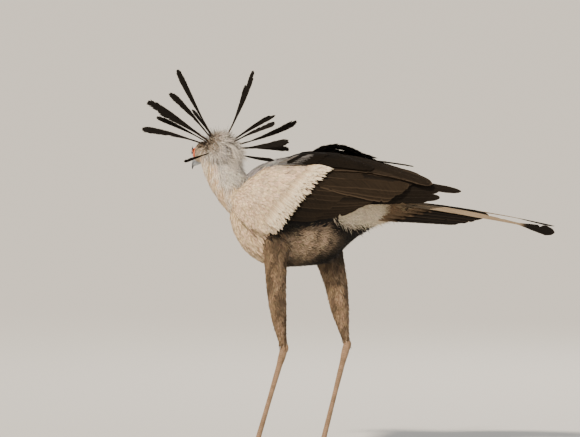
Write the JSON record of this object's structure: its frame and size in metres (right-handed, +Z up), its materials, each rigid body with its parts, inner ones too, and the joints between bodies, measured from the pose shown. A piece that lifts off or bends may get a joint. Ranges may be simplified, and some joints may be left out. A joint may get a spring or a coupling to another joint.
{
  "type": "secretary bird",
  "caption": "Life-size secretary bird standing in mid stride, crest quills raised in a fan, head turned away and down, wings folded, long tail held level",
  "frame": {"origin": "on the floor, under the centre of the bird's bounding box", "axes": "+Z up, -X the way the bird walks, so +X runs to the tail; -Y is its left side, the side the picture shows"},
  "size_m": [1.1723, 0.2444, 1.0885],
  "materials": {
    "pale_plumage": "soft pale grey-buff body feathers with fine dark streaks",
    "wing_feathers": "pale grey-buff coverts over black-brown flight feathers",
    "crest_quills": "black-brown spatulate quills on a whitish nape",
    "tail_feathers": "grey-brown vanes with black bands",
    "thigh_feathers": "dark brown-black mottled feathering",
    "scaly_leg": "pinkish-tan scaled skin, satin",
    "claw": "dark horn, semi-gloss",
    "bill": "blue-grey horn, semi-gloss",
    "eye": "wet dark-brown eye, glossy"
  },
  "bodies": {
    "root": {"bill_lower": "bill", "bill_upper": "bill", "claw_hind_left": "claw", "claw_hind_right": "claw", "claw_inner_left": "claw", "claw_inner_right": "claw", "claw_middle_left": "claw", "claw_middle_right": "claw", "claw_outer_left": "claw", "claw_outer_right": "claw", "crest_left": "crest_quills", "crest_middle": "crest_quills", "crest_right": "crest_quills", "eye_left": "eye", "eye_right": "eye", "foot_left": "scaly_leg", "foot_right": "scaly_leg", "head": "pale_plumage", "neck": "pale_plumage", "tail": "tail_feathers", "tarsus_left": "scaly_leg", "tarsus_right": "scaly_leg", "thigh_left": "thigh_feathers", "thigh_right": "thigh_feathers", "torso": "pale_plumage", "wing_left": "wing_feathers", "wing_right": "wing_feathers"}
  },
  "joints": []
}
